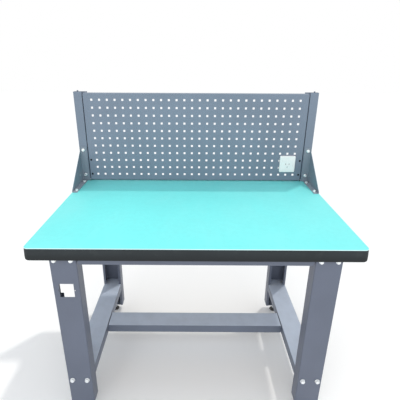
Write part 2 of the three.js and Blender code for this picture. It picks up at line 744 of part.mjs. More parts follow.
const crossZ = lowerRailTop - lowerRailHeight / 2;
place('lower_cross_beam', crossBeam(), framePaint, [0, railCentreY, crossZ], [0, 0, quarterTurn]);
const beamZ = upperRailTop - upperRailHeight / 2;
const frontBeamY = frontLegFace + topBeamDepth / 2;
const rearBeamY = rearLegFace - topBeamDepth / 2;
place('front_top_beam', topBeam(), framePaint, [0, frontBeamY, beamZ]);
place('rear_top_beam', topBeam(), framePaint, [0, rearBeamY, beamZ], [0, 0, halfTurn]);

for (const [sideName, side] of sides) {
  place(`upright_${sideName}`, upright(side), panelPaint, [0, 0, surfaceHeight + seatGap]);
  const cornerX = side * gussetOuterX;
  place(`gusset_${sideName}`, gusset(side), framePaint, [cornerX, panelFront, surfaceHeight]);
  const boltX = side * (gussetOuterX - gussetBoltInset);
  const backSeatY = panelFront - frameSheet - 2 * seatGap;
  const boltHeights = { low: gussetLowBoltHeight, high: gussetHighBoltHeight };
  for (const [boltName, height] of Object.entries(boltHeights)) {
    const seat = [boltX, backSeatY, surfaceHeight + height];
    place(`gusset_bolt_${sideName}_${boltName}`, flangeBolt(gussetBolt), zinc, seat, [quarterTurn, 0, 0]);
  }
  const footSeatZ = surfaceHeight + frameSheet + 2 * seatGap;
  const boltDistances = { near: footBoltNear, far: footBoltFar };
  for (const [boltName, distance] of Object.entries(boltDistances)) {
    const seat = [side * (gussetOuterX - footBoltInset), panelFront - distance, footSeatZ];
    place(`foot_bolt_${sideName}_${boltName}`, flangeBolt(footBolt), zinc, seat);
  }
}

place('pegboard_panel', pegboardPanel(), panelPaint, [0, panelFront, panelCentreZ]);
place('socket_plate', socketPlate(), finishes.socketWhite, [socketX, panelFront, socketZ]);
place('socket_back_box', socketBackBox(), finishes.boxSteel, [socketX, panelFront, socketZ]);
for (const [sideName, side] of sides) {
  const seat = [socketX + (side * boxScrewSpacing) / 2, panelFront - seatGap - socketThickness, socketZ];
  place(`socket_screw_${sideName}`, socketScrew(), zinc, seat, [quarterTurn, 0, 0]);
}

export default bench;
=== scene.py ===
# Workbench with a mat-covered top and a perforated panel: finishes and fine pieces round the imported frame.
import math
import bmesh
import bpy
from mathutils import Matrix, Vector


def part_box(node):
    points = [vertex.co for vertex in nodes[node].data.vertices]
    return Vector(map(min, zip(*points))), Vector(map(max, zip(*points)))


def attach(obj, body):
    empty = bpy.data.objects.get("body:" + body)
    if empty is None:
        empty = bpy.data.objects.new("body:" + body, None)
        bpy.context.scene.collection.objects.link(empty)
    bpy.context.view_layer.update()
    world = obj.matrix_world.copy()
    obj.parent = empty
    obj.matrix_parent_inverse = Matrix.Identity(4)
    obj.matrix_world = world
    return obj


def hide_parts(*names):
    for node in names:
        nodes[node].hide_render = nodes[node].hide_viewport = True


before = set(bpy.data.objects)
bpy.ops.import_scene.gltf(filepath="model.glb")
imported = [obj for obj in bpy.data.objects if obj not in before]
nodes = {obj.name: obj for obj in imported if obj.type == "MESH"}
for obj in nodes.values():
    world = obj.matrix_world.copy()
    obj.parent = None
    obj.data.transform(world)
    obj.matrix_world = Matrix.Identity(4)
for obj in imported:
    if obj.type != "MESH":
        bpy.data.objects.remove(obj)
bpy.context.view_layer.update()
scene = bpy.context.scene
print("frame loaded:", len(nodes), "nodes")


# Node graphs, for finishes and for geometry
class Signal:  # a socket that takes part in sums
    def __init__(self, graph, socket):
        self.graph, self.socket = graph, socket

    def maths(self, operation, *values):
        return self.graph.add("ShaderNodeMath", {"operation": operation}, dict(enumerate(values)))

    def __add__(self, other):
        return self.maths("ADD", self, other)

    def __sub__(self, other):
        return self.maths("SUBTRACT", self, other)

    def __rsub__(self, other):
        return self.maths("SUBTRACT", other, self)

    def __mul__(self, other):
        return self.maths("MULTIPLY", self, other)

    def __gt__(self, other):
        return self.maths("GREATER_THAN", self, other)

    def __abs__(self):
        return self.maths("ABSOLUTE", self)

    __radd__ = __add__
    __rmul__ = __mul__


class Graph:
    def __init__(self, tree):
        self.tree = tree

    def fill(self, socket, value):
        if isinstance(value, Signal):
            self.tree.links.new(value.socket, socket)
        else:
            socket.default_value = value

    def add(self, kind, settings=None, inputs=None, output=0):
        node = self.tree.nodes.new(kind)
        for name, value in (settings or {}).items():
            setattr(node, name, value)
        for name, value in (inputs or {}).items():
            self.fill(node.inputs[name], value)
        return Signal(self, node.outputs[output]) if node.outputs else node


class Finish(Graph):  # a procedural material on one Principled shader
    def __init__(self, name, **constants):
        self.material = bpy.data.materials.new(name)
        self.material.use_nodes = True
        super().__init__(self.material.node_tree)
        self.shader = self.tree.nodes["Principled BSDF"]
        self.place = self.add("ShaderNodeTexCoord", output="Object")
        self.upward = self.add(
            "ShaderNodeSeparateXYZ", None, {0: self.add("ShaderNodeNewGeometry", output="Normal")}, "Z")
        for socketName, value in constants.items():
            self.shader.inputs[socketName.replace("_", " ")].default_value = value

    def noise(self, scale, detail=2.0, roughness=0.5, stretch=None):
        place = self.place
        if stretch:
            place = self.add("ShaderNodeMapping", None, {"Vector": place, "Scale": stretch})
        inputs = {"Vector": place, "Scale": scale, "Detail": detail, "Roughness": roughness}
        return self.add("ShaderNodeTexNoise", {"noise_dimensions": "3D"}, inputs)

    def cells(self, scale, feature="F1", output="Distance"):
        inputs = {"Vector": self.place, "Scale": scale}
        return self.add("ShaderNodeTexVoronoi", {"feature": feature}, inputs, output)

    def stepped(self, signal, low, high):  # nought below low, one above high
        settings = {"interpolation_type": "SMOOTHSTEP"}
        return self.add("ShaderNodeMapRange", settings, {"Value": signal, "From Min": low, "From Max": high})

    def mixed(self, factor, first, second):  # two colours
        settings = {"data_type": "RGBA"}
        return self.add("ShaderNodeMix", settings, {0: factor, 6: first, 7: second}, 2)

    def edges(self, radius):  # one along sharp edges, nought on flats
        softened = self.add("ShaderNodeBevel", {"samples": 4}, {"Radius": radius})
        flat = self.add("ShaderNodeNewGeometry", output="Normal")
        settings = {"operation": "DOT_PRODUCT"}
        likeness = self.add("ShaderNodeVectorMath", settings, {0: softened, 1: flat}, "Value")
        return self.stepped(1 - likeness, 0.01, 0.16)

    def bumped(self, height, distance, strength):
        inputs = {"Height": height, "Distance": distance, "Strength": strength}
        return self.add("ShaderNodeBump", None, inputs)

    def wear(self, **signals):  # what changes over the surface, by socket
        for socketName, signal in signals.items():
            self.fill(self.shader.inputs[socketName.replace("_", " ")], signal)
        return self.material


def rgb(red, green, blue):
    return (red, green, blue, 1)


def scaled(colour, factor, most=1.0):
    return rgb(*(min(level * factor, most) for level in colour))


# Camera, where the photograph was taken from
view = {
    "place": (-0.0118, -1.4282, 1.41),
    "yaw": math.radians(-0.06),
    "pitch": math.radians(21.26),
    "roll": math.radians(0.29),
    "focal": 352.2,
    "frame": 400,
    "middle": (192.7, 194.9),  # where the lens points, in pixels of the frame
    "sensor": 36,
    "farthest": 60,
}


def makeCamera(view):
    yaw, pitch, roll = view["yaw"], view["pitch"], view["roll"]
    ahead = Vector((
        math.sin(yaw) * math.cos(pitch), math.cos(yaw) * math.cos(pitch), -math.sin(pitch)))
    level = Vector((math.cos(yaw), -math.sin(yaw), 0))
    above = level.cross(ahead)
    right = level * math.cos(roll) + above * math.sin(roll)
    up = above * math.cos(roll) - level * math.sin(roll)
    data = bpy.data.cameras.new("photoCamera")
    data.sensor_width = view["sensor"]
    data.lens = view["sensor"] * view["focal"] / view["frame"]
    half = view["frame"] / 2
    data.shift_x = (half - view["middle"][0]) / view["frame"]
    data.shift_y = (view["middle"][1] - half) / view["frame"]
    data.clip_end = view["farthest"]
    camera = bpy.data.objects.new("photoCamera", data)
    turn = Matrix((right, up, -ahead)).transposed().to_4x4()
    camera.matrix_world = Matrix.Translation(view["place"]) @ turn
    scene.collection.objects.link(camera)
    scene.camera = camera


makeCamera(view)


# Light: a high soft sun behind the right corner, a wide lamp before the bench, an even sky
light = {
    "sunTowards": (0.33, 0.36, 1.0),
    "sunFar": 4,
    "sunStrength": 1.02,
    "sunColour": (1.0, 0.965, 0.9),
    "sunSpread": math.radians(2.5),
    "fillPlace": (-0.35, -3.0, 2.9),
    "fillAim": (0.0, 0.2, 0.8),
    "fillSize": 3.2,
    "fillPower": 46,
    "skyColour": rgb(0.93, 0.965, 1.0),
    "skyStrength": 0.88,
}


def aimed(lampName, kind, place, target):
    lamp = bpy.data.objects.new(lampName, bpy.data.lights.new(lampName, kind))
    lamp.location = place
    lamp.rotation_euler = (Vector(target) - Vector(place)).to_track_quat("-Z", "Y").to_euler()
    lamp.visible_camera = False
    scene.collection.objects.link(lamp)
    return lamp.data


def makeLight(light):
    sun = aimed("softSun", "SUN", Vector(light["sunTowards"]) * light["sunFar"], (0, 0, 0))
    sun.energy, sun.angle, sun.color = light["sunStrength"], light["sunSpread"], light["sunColour"]
    fill = aimed("frontLamp", "AREA", light["fillPlace"], light["fillAim"])
    fill.energy, fill.size = light["fillPower"], light["fillSize"]
    world = bpy.data.worlds.new("studio")
    world.use_nodes = True
    world.node_tree.nodes.clear()
    graph = Graph(world.node_tree)
    names = ("Is Camera Ray", "Is Glossy Ray", "Is Transmission Ray")
    rays = [graph.add("ShaderNodeLightPath", output=name) for name in names]
    seen = rays[0] + rays[1] + rays[2]  # where the sky is looked at, it is white
    shine = {"Color": light["skyColour"], "Strength": light["skyStrength"]}
    sky = graph.add("ShaderNodeBackground", None, shine)
    white = graph.add("ShaderNodeBackground", None, {"Color": rgb(1, 1, 1), "Strength": 1.0})
    both = graph.add("ShaderNodeMixShader", None, {0: seen, 1: sky, 2: white})
    graph.add("ShaderNodeOutputWorld", None, {"Surface": both})
    scene.world = world


makeLight(light)
scene.view_settings.view_transform = "Standard"


ground = {"reach": 14, "light": rgb(0.93, 0.93, 0.93), "dark": rgb(0.9, 0.9, 0.9)}


def makeFloor(ground):
    mesh = bpy.data.meshes.new("studioFloor")
    reach = ground["reach"]
    corners = [(-reach, -reach, 0), (reach, -reach, 0), (reach, reach, 0), (-reach, reach, 0)]
    mesh.from_pydata(corners, [], [(0, 1, 2, 3)])
    floor = bpy.data.objects.new("studioFloor", mesh)
    finish = Finish("paleFloor", Roughness=0.9)
    tone = finish.mixed(finish.noise(1.2), ground["light"], ground["dark"])
    mesh.materials.append(finish.wear(Base_Color=tone))
    scene.collection.objects.link(floor)


makeFloor(ground)
print("camera, light and floor made")


# Finishes
def powderCoat(name, colour, dusty, dust):  # textured paint, with a pale film on what faces up: partly dust, partly painted light on the top faces
    finish = Finish(name, Specular_IOR_Level=0.42, Coat_Roughness=0.28, Coat_IOR=1.45)
    broad = finish.noise(4.5, 3.0)
    fine = finish.noise(2600, 1.0)
    peel = finish.noise(620, 2.0, 0.45)
    edge = finish.edges(0.0016) * finish.stepped(finish.noise(55, 4.0, 0.7), 0.42, 0.66)
    scuff = finish.stepped(finish.noise(30, 5.0, 0.75, (1.0, 1.0, 5.0)), 0.66, 0.74)
    patches = finish.stepped(finish.noise(16, 5.0, 0.62), 0.3, 0.75)
    # the film: dust, and painted light that makes every top face paler than the sides
    dustAndTopLight = finish.stepped(finish.upward, 0.55, 0.95) * (1 - patches * 0.14)
    tone = finish.mixed(finish.stepped(broad, 0.3, 0.7), scaled(colour, 0.94), scaled(colour, 1.07))
    tone = finish.mixed(finish.stepped(fine, 0.2, 0.8) * 0.22, tone, scaled(colour, 1.5))
    tone = finish.mixed(dustAndTopLight * dust, tone, rgb(*dusty))
    tone = finish.mixed(scuff * 0.12, tone, rgb(0.42, 0.45, 0.5))
    tone = finish.mixed(edge * 0.3, tone, rgb(0.5, 0.53, 0.57))
    rough = 0.4 + broad * 0.1 + fine * 0.08 + dustAndTopLight * 0.18 - edge * 0.1
    bump = finish.bumped(peel, 0.0005, 0.75)
    return finish.wear(Base_Color=tone, Roughness=rough, Coat_Weight=0.12 - dustAndTopLight * 0.1, Normal=bump)


def matRubber(name, colour):  # pebbled sheet with faint scuffs, haze and hairlines
    finish = Finish(name, Specular_IOR_Level=0.4, Sheen_Weight=0.08, Sheen_Roughness=0.5)
    broad = finish.noise(2.2, 3.0)
    grain = finish.noise(1500, 2.0, 0.6)
    pebble = finish.cells(900)
    scuff = finish.stepped(finish.noise(11, 6.0, 0.8, (1.0, 6.0, 1.0)), 0.63, 0.72)
    hairline = finish.stepped(abs(finish.noise(7, 4.0, 0.65, (9.0, 1.0, 1.0)) - 0.5), 0.0, 0.006)
    haze = finish.stepped(finish.noise(3.1, 5.0, 0.6, (1.0, 0.45, 1.0)), 0.42, 0.68)
    mottle = finish.stepped(finish.noise(46, 4.0, 0.65), 0.35, 0.7)
    tone = finish.mixed(finish.stepped(broad, 0.25, 0.75), scaled(colour, 0.95), scaled(colour, 1.03, 0.92))
    tone = finish.mixed(haze * 0.09, tone, rgb(0.42, 0.79, 0.79))
    tone = finish.mixed(mottle * 0.22, tone, scaled(colour, 0.84))
    tone = finish.mixed(finish.stepped(grain, 0.3, 0.75) * 0.16, tone, scaled(colour, 0.78))
    tone = finish.mixed(scuff * 0.08, tone, rgb(0.62, 0.88, 0.88))
    tone = finish.mixed((1 - hairline) * 0.06, tone, rgb(0.66, 0.9, 0.9))
    rough = 0.5 + broad * 0.12 + scuff * 0.1
    bump = finish.bumped(pebble + grain * 0.6, 0.0002, 0.7)
    return finish.wear(Base_Color=tone, Roughness=rough, Normal=bump)


def paleEdgeHighlight(name, colour):  # the mat's cut edge, painted pale as a highlight where the edge catches the light
    finish = Finish(name, Specular_IOR_Level=0.45)
    layer = finish.noise(240, 4.0, 0.6, (0.15, 0.15, 6.0))
    tone = finish.mixed(layer, rgb(*colour), scaled(colour, 1.08, 0.95))
    bump = finish.bumped(layer, 0.0002, 0.4)
    return finish.wear(Base_Color=tone, Roughness=0.38 + layer * 0.14, Normal=bump)


def mouldedBand(name, colour, handledFrom, handledTo):  # leathery moulding, darker towards the bottom by painted shade
    finish = Finish(name, Specular_IOR_Level=0.28)
    leather = finish.cells(430, "SMOOTH_F1")
    grain = finish.noise(1700, 2.0, 0.6)
    broad = finish.noise(7, 4.0, 0.6)
    dust = finish.stepped(finish.noise(24, 6.0, 0.7), 0.5, 0.8)
    rub = finish.stepped(finish.noise(60, 5.0, 0.75, (1.0, 1.0, 7.0)), 0.64, 0.75)
    height = finish.add("ShaderNodeSeparateXYZ", None, {0: finish.place}, "Z")
    clearOfShade = finish.stepped(height, handledFrom, handledTo)
    tone = finish.mixed(finish.stepped(broad, 0.3, 0.7), rgb(*colour), scaled(colour, 1.35))
    # painted shade: the band's lower part darkened, fading out going up; dust is kept above it
    tone = finish.mixed(clearOfShade, scaled(colour, 0.62), tone)
    tone = finish.mixed(dust * clearOfShade * 0.1, tone, rgb(0.22, 0.23, 0.22))
    tone = finish.mixed(rub * 0.16, tone, rgb(0.17, 0.19, 0.2))
    rough = 0.52 + broad * 0.14 + dust * 0.12
    bump = finish.bumped(leather + grain * 0.35, 0.0004, 0.45)
    return finish.wear(Base_Color=tone, Roughness=rough, Normal=bump)


def pressedBoard(name):  # chips and fibres under a dull sealer
    finish = Finish(name, Specular_IOR_Level=0.25)
    fibre = finish.noise(95, 5.0, 0.72, (1.0, 3.5, 3.0))
    chip = finish.add("ShaderNodeRGBToBW", None, {0: finish.cells(150, "F1", "Color")})
    fleck = finish.cells(210)
    broad = finish.noise(5, 3.0)
    tone = finish.mixed(finish.stepped(fibre, 0.3, 0.7), rgb(0.23, 0.145, 0.074), rgb(0.45, 0.33, 0.2))
    tone = finish.mixed(finish.stepped(chip, 0.25, 0.75) * 0.4, tone, rgb(0.54, 0.42, 0.27))
    tone = finish.mixed(finish.stepped(fleck, 0.05, 0.3), rgb(0.17, 0.1, 0.05), tone)
    tone = finish.mixed(broad * 0.2, tone, rgb(0.46, 0.36, 0.24))
    bump = finish.bumped(fibre + fleck * 0.5, 0.0004, 0.5)
    return finish.wear(Base_Color=tone, Roughness=0.78 + fibre * 0.14, Normal=bump)


def platedSteel(name, colour, tint, metallic=1.0):
    finish = Finish(name, Metallic=metallic)
    cloud = finish.noise(95, 4.0, 0.6)
    brush = finish.noise(900, 3.0, 0.6, (1.0, 1.0, 0.2))
    edge = finish.edges(0.0006)
    tone = finish.mixed(finish.stepped(cloud, 0.3, 0.72), rgb(*colour), rgb(*tint))
    tone = finish.mixed(edge * 0.35, tone, rgb(0.9, 0.91, 0.92))
    rough = 0.2 + brush * 0.16 + cloud * 0.08
    bump = finish.bumped(brush, 0.00008, 0.5)
    return finish.wear(Base_Color=tone, Roughness=rough, Normal=bump)


def darkPlastic(name, colour, gleam=0.45):
    finish = Finish(name, Specular_IOR_Level=gleam)
    grain = finish.noise(1300, 2.0, 0.6)
    broad = finish.noise(35, 4.0, 0.6)
    dust = finish.stepped(finish.upward, 0.2, 0.9) * finish.stepped(broad, 0.35, 0.75)
    tone = finish.mixed(finish.stepped(broad, 0.3, 0.7), rgb(*colour), scaled(colour, 1.6))
    tone = finish.mixed(dust * 0.25, tone, rgb(0.24, 0.23, 0.21))
    bump = finish.bumped(grain, 0.0002, 0.5)
    return finish.wear(Base_Color=tone, Roughness=0.5 + grain * 0.12 + dust * 0.15, Normal=bump)


def glossyPlastic(name, colour):
    finish = Finish(name, Specular_IOR_Level=0.55, Coat_Roughness=0.1)
    broad = finish.noise(26, 3.0)
    grain = finish.noise(2100, 2.0, 0.5)
    crease = finish.edges(0.0012)
    tone = finish.mixed(finish.stepped(broad, 0.3, 0.7), rgb(*colour), scaled(colour, 0.965))
    tone = finish.mixed(crease * 0.06, tone, rgb(0.95, 0.95, 0.94))
    rough = 0.2 + broad * 0.12
    bump = finish.bumped(grain, 0.00005, 0.35)
    return finish.wear(Base_Color=tone, Roughness=rough, Coat_Weight=0.25 + broad * 0.1, Normal=bump)


def spangledSteel(name, colour, tint):  # zinc-coated sheet with its flakes
    finish = Finish(name, Metallic=0.9)
    shade = finish.add("ShaderNodeRGBToBW", None, {0: finish.cells(190, "F1", "Color")})
    grain = finish.noise(500, 3.0, 0.6)
    tone = finish.mixed(shade, rgb(*colour), rgb(*tint))
    rough = 0.36 + shade * 0.14 + grain * 0.12
    return finish.wear(Base_Color=tone, Roughness=rough, Normal=finish.bumped(grain, 0.0001, 0.4))


finishes = {
    "mat": matRubber("turquoiseMat", (0.17, 0.79, 0.782)),
    "matEdge": paleEdgeHighlight("matCutEdge", (0.6, 0.86, 0.87)),
    "band": mouldedBand("blackBand", (0.018, 0.023, 0.0255), 0.752, 0.79),
    "board": pressedBoard("pressedBoard"),
    "frame": powderCoat("framePowderCoat", (0.107, 0.124, 0.169), (0.42, 0.47, 0.54), 0.4),
    # rails: the frame's paint made lighter, with a strong bluish film on top faces, painted light for the sun
    # and sky on them; partly dust
    "rail": powderCoat("railPowderCoat", (0.125, 0.148, 0.198), (0.5, 0.575, 0.7), 0.9),
    "panel": powderCoat("panelPowderCoat", (0.18, 0.214, 0.276), (0.42, 0.5, 0.54), 0.3),
    "gusset": powderCoat("gussetPowderCoat", (0.21, 0.245, 0.295), (0.42, 0.5, 0.54), 0.3),
    "zinc": platedSteel("brightZinc", (0.83, 0.865, 0.89), (0.89, 0.9, 0.89), 0.6),
    "black": platedSteel("blackenedSteel", (0.03, 0.03, 0.033), (0.05, 0.048, 0.045)),
    "foot": darkPlastic("footPlastic", (0.018, 0.018, 0.02)),
    # access plugs: near black with little gleam, painted shade of the holes
    "plug": darkPlastic("plugPlastic", (0.003, 0.0035, 0.004), 0.08),
    "socket": glossyPlastic("whitePlastic", (0.92, 0.89, 0.88)),
    # slot shutters: near black, partly their own colour, partly painted shade of the slots
    "shutter": darkPlastic("slotShutter", (0.05, 0.05, 0.052)),
    "box": spangledSteel("zincSheet", (0.42, 0.44, 0.45), (0.52, 0.54, 0.55)),
}
print("finishes made:", len(finishes))


# Meshes
def linked(name, mesh, *finishNames):
    piece = bpy.data.objects.new(name, mesh)
    scene.collection.objects.link(piece)
    for finishName in finishNames:
        mesh.materials.append(finishes[finishName])
    return piece


def smoothed(piece, angle=32):
    piece.data.shade_smooth()
    piece.data.set_sharp_from_angle(angle=math.radians(angle))
    return piece


def bevelled(piece, width):  # cut edges broken, folds left as they are
    bevel = piece.modifiers.new("edges", "BEVEL")
    bevel.width, bevel.segments, bevel.angle_limit = width, 2, math.radians(60)
    bevel.limit_method, bevel.use_clamp_overlap = "ANGLE", False
    return settled(piece)


def evened(piece, angle):  # smooth rounds, with the light even over each flat
    smoothed(piece, angle)
    flat = piece.modifiers.new("evenLight", "WEIGHTED_NORMAL")
    flat.keep_sharp, flat.weight = True, 100
    return settled(piece)


def settled(piece):  # modifiers become plain mesh
    shape = piece.evaluated_get(bpy.context.evaluated_depsgraph_get())
    mesh = bpy.data.meshes.new_from_object(shape)
    piece.modifiers.clear()
    piece.data = mesh
    return piece


def shown(piece, body="bench", stands=()):
    if stands:
        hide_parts(*stands)
    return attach(piece, body)


def meshFrom(work, name):
    mesh = bpy.data.meshes.new(name)
    work.to_mesh(mesh)
    work.free()
    return mesh


def fused(name, parts):  # several closed shells in one mesh
    work = bmesh.new()
    for part in parts:
        work.from_mesh(part)
    return meshFrom(work, name)


def block(matrix):  # a cube of one metre, placed and sized by the matrix
    work = bmesh.new()
    bmesh.ops.create_cube(work, size=1, matrix=matrix)
    return meshFrom(work, "block")


def carved(piece, tools, crossing=False):  # crossing tools run through each other
    tool = linked("carvingTool", fused("tools", tools))
    cut = piece.modifiers.new("carving", "BOOLEAN")
    cut.object, cut.operation, cut.solver, cut.use_self = tool, "DIFFERENCE", "EXACT", crossing
    settled(piece)
    bpy.data.objects.remove(tool)
    return piece


def ringed(rings, closed=False):  # rings of points, joined in turn; closed joins the last to the first
    work = bmesh.new()
    loops = [[work.verts.new(point) for point in ring] for ring in rings]
    for lower, upper in zip(loops, loops[1:] + (loops[:1] if closed else [])):
        for i in range(len(lower)):
            j = (i + 1) % len(lower)
            work.faces.new((lower[i], lower[j], upper[j], upper[i]))
    if not closed:
        work.faces.new(list(reversed(loops[0])))
        work.faces.new(loops[-1])
    bmesh.ops.recalc_face_normals(work, faces=work.faces)
    return meshFrom(work, "rings")


def arc(centre, radius, start, sweep, steps):
    angles = [math.radians(start + sweep * step / steps) for step in range(steps + 1)]
    return [(centre[0] + radius * math.cos(a), centre[1] + radius * math.sin(a)) for a in angles]


def roundedRectangle(width, height, radii, inset, steps):  # its corners keep a little round when inset
    points, least = [], 0.0004
    for corner, radius in enumerate(radii):
        tight = max(radius - inset, least)
        sideX = -1 if corner in (0, 3) else 1
        sideY = -1 if corner < 2 else 1
        centre = (sideX * (width / 2 - inset - tight), sideY * (height / 2 - inset - tight))
        points += arc(centre, tight, 180 + 90 * corner, 90, steps)
    return points


def turned(stations, radiusAt, sides):  # a body round Z, its radius set by angle and station
    angles = [2 * math.pi * side / sides for side in range(sides)]
    rings = []
    for index, height in enumerate(stations):
        radii = [radiusAt(a, index) for a in angles]
        rings.append([(r * math.cos(a), r * math.sin(a), height) for r, a in zip(radii, angles)])
    return rings


def lathed(profile, sides):  # the same with a plain radius for each height
    return turned([height for height, _ in profile], lambda angle, index: profile[index][1], sides)


# Worktop: a mat with a painted highlight on its edge, and a moulded band round the board
top = {
    "width": 1.2,
    "depth": 0.75,
    "height": 0.8,
    "radii": (0.020, 0.020, 0.016, 0.016),
    "cornerSteps": 10,
    "matThickness": 0.0027,
    "matInset": 0.002,
    "matBevel": 0.0007,
    "matBevelRound": 0.3,
    "matFlat": 0.95,  # faces that look up or down by more than this stay turquoise; the rest take the painted edge highlight
    "bandHeight": 0.047,
    "bandThickness": 0.008,
    "bandLean": 0.002,
    "bandBulge": (0.2, 0.4, 0.6, 0.8),
    "bandSteps": (8, 4),
    "bandTopRound": 0.0015,
    "bandBottomRound": 0.007,
    "seat": 0.003,
}


def topRing(inset, height):
    outline = roundedRectangle(top["width"], top["depth"], top["radii"], inset, top["cornerSteps"])
    return [(x, y, height) for x, y in outline]


def makeMat():
    high, low = top["height"], top["height"] - top["matThickness"]
    inset, bevel = top["matInset"], top["matBevel"]
    halfway = bevel * top["matBevelRound"]
    profile = [(inset, low), (inset, high - bevel)]
    profile += [(inset + halfway, high - halfway), (inset + bevel, high)]
    mat = linked("matSheet", ringed([topRing(*step) for step in profile]), "mat", "matEdge")
    for face in mat.data.polygons:
        if abs(face.normal.z) < top["matFlat"]:
            face.material_index = 1
    shown(smoothed(mat, 50), stands=["worktop_mat"])


def makeBand():
    low = top["height"] - top["seat"] - top["bandHeight"]
    lean, topRound, bottomRound = top["bandLean"], top["bandTopRound"], top["bandBottomRound"]
    face = top["bandHeight"] - topRound - bottomRound
    lowSteps, highSteps = top["bandSteps"]
    profile = arc((bottomRound, bottomRound), bottomRound, 270, -90, lowSteps)
    profile += [(lean * share ** 2, bottomRound + face * share) for share in top["bandBulge"]]
    profile += arc((lean + topRound, top["bandHeight"] - topRound), topRound, 180, -90, highSteps)
    profile += [(top["bandThickness"], top["bandHeight"]), (top["bandThickness"], 0)]
    rings = [topRing(inset, low + height) for inset, height in profile]
    band = linked("edgeMoulding", ringed(rings, closed=True), "band")
    shown(smoothed(band, 40), stands=["edge_band"])


makeMat()
makeBand()
nodes["worktop_core"].data.materials.clear()
nodes["worktop_core"].data.materials.append(finishes["board"])
print("worktop made")


# Folded sheet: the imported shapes, with their cut edges broken
sheet = {"merge": 0.00002, "flat": math.radians(0.8), "edge": 0.0003, "fold": 50}
sheetPieces = {
    "frame": [
        "leg_front_left", "leg_front_right", "leg_rear_left", "leg_rear_right",
        "upper_side_rail_left", "upper_side_rail_right",
        "front_top_beam", "rear_top_beam",
    ],
    "rail": ["lower_side_rail_left", "lower_side_rail_right", "lower_cross_beam"],
    "panel": ["upright_left", "upright_right"],
    "gusset": ["gusset_left", "gusset_right"],
    "box": ["socket_back_box"],
}


def foldedPiece(nodeName, finishName):
    work = bmesh.new()
    work.from_mesh(nodes[nodeName].data)
    bmesh.ops.remove_doubles(work, verts=work.verts, dist=sheet["merge"])
    bmesh.ops.dissolve_limit(work, angle_limit=sheet["flat"], verts=work.verts, edges=work.edges)
    first, *rest = nodeName.split("_")
    name = first + "".join(word.capitalize() for word in rest) + "Sheet"
    piece = linked(name, meshFrom(work, nodeName), finishName)
    bevelled(piece, sheet["edge"])
    shown(evened(piece, sheet["fold"]), stands=[nodeName])


for finishName, names in sheetPieces.items():
    for nodeName in names:
        foldedPiece(nodeName, finishName)
print("folded sheet dressed")


# Perforated panel: a folded tray, pierced by a grid of square punches
panel = {
    "width": 1.11,
    "height": 0.445,
    "depth": 0.0257,
    "sheet": 0.0015,
    "fold": 0.002,
    "lip": 0.020,
    "corner": 0.008,
    "front": 0.347,
    "middle": 1.0265,
    "pitch": 0.038,
    "hole": 0.010,
    "columns": 28,
    "rows": 11,
    "through": 0.008,
    "foldSteps": 6,
    "socketX": 0.478,
    "socketZ": -0.130,
    "windowWidth": 0.054,
    "windowHeight": 0.058,
    "screwSpacing": 0.0603,
    "screwHole": 0.0022,
    "screwHoleSides": 12,
    "accessHole": 0.004,
    "accessHoleSides": 24,
    "accessInset": 0.012,
    "accessRows": (0, 2),
    "edge": 0.00025,
    "smooth": 40,
}


def foldLine(bend, lip, back):  # insets and depths over both bends, at one face of the sheet
    outer, depth, steps = panel["sheet"] + panel["fold"], panel["depth"], panel["foldSteps"]
    front = arc((outer, outer), bend, 270, -90, steps)
    return front + arc((outer, depth - outer), bend, 180, -90, steps) + [(lip, back)]


def panelTray():
    sheet, fold, depth = panel["sheet"], panel["fold"], panel["depth"]
    outside = foldLine(sheet + fold, panel["lip"], depth)
    inside = foldLine(fold, panel["lip"], depth - sheet)
    rings = []
    for inset, back in outside + inside[::-1]:
        corners = [panel["corner"]] * 4
        outline = roundedRectangle(panel["width"], panel["height"], corners, inset, panel["foldSteps"])
        rings.append([(x, panel["front"] + back, panel["middle"] + z) for x, z in outline])
    return linked("perforatedPanel", ringed(rings), "panel")


def prism(work, x, z, halfWidth, halfHeight, sides=4):  # a cutter that runs through the face
    spread = math.sqrt(2) if sides == 4 else 1
    loops = []
    for back in (-panel["through"], panel["through"]):
        ring = []
        for side in range(sides):
            a = math.radians((side + 0.5) * 360 / sides)
            across, up = halfWidth * spread * math.cos(a), halfHeight * spread * math.sin(a)
            ring.append(work.verts.new((x + across, panel["front"] + back, z + up)))
        loops.append(ring)
    for i in range(sides):
        j = (i + 1) % sides
        work.faces.new((loops[0][i], loops[0][j], loops[1][j], loops[1][i]))
    work.faces.new(loops[0][::-1])
    work.faces.new(loops[1])


def accessPlace(side, row):
    x = side * (panel["width"] / 2 - panel["accessInset"])
    return x, panel["middle"] + (row - (panel["rows"] - 1) / 2) * panel["pitch"]


def extraCutters():  # for the back box, its screws and the access holes
    work = bmesh.new()
    socketX, socketZ = panel["socketX"], panel["middle"] + panel["socketZ"]
    prism(work, socketX, socketZ, panel["windowWidth"] / 2, panel["windowHeight"] / 2)
    for side in (-1, 1):
        screwX = socketX + side * panel["screwSpacing"] / 2
        prism(work, screwX, socketZ, *[panel["screwHole"]] * 2, panel["screwHoleSides"])
        for row in panel["accessRows"]:
            prism(work, *accessPlace(side, row), *[panel["accessHole"]] * 2, panel["accessHoleSides"])
    bmesh.ops.recalc_face_normals(work, faces=work.faces)
    return bpy.data.objects.new("extraPunches", meshFrom(work, "extraPunches"))


def newTree(name, sockets):
    tree = bpy.data.node_groups.new(name, "GeometryNodeTree")
    tree.interface.new_socket("Geometry", in_out="OUTPUT", socket_type="NodeSocketGeometry")
    tree.interface.new_socket("Geometry", in_out="INPUT", socket_type="NodeSocketGeometry")
    for socketName, kind in sockets.items():
        tree.interface.new_socket(socketName, in_out="INPUT", socket_type=f"NodeSocket{kind}")
    graph = Graph(tree)
    entry = tree.nodes.new("NodeGroupInput")
    given = {socket.name: Signal(graph, socket) for socket in entry.outputs if socket.name}
    return graph, given


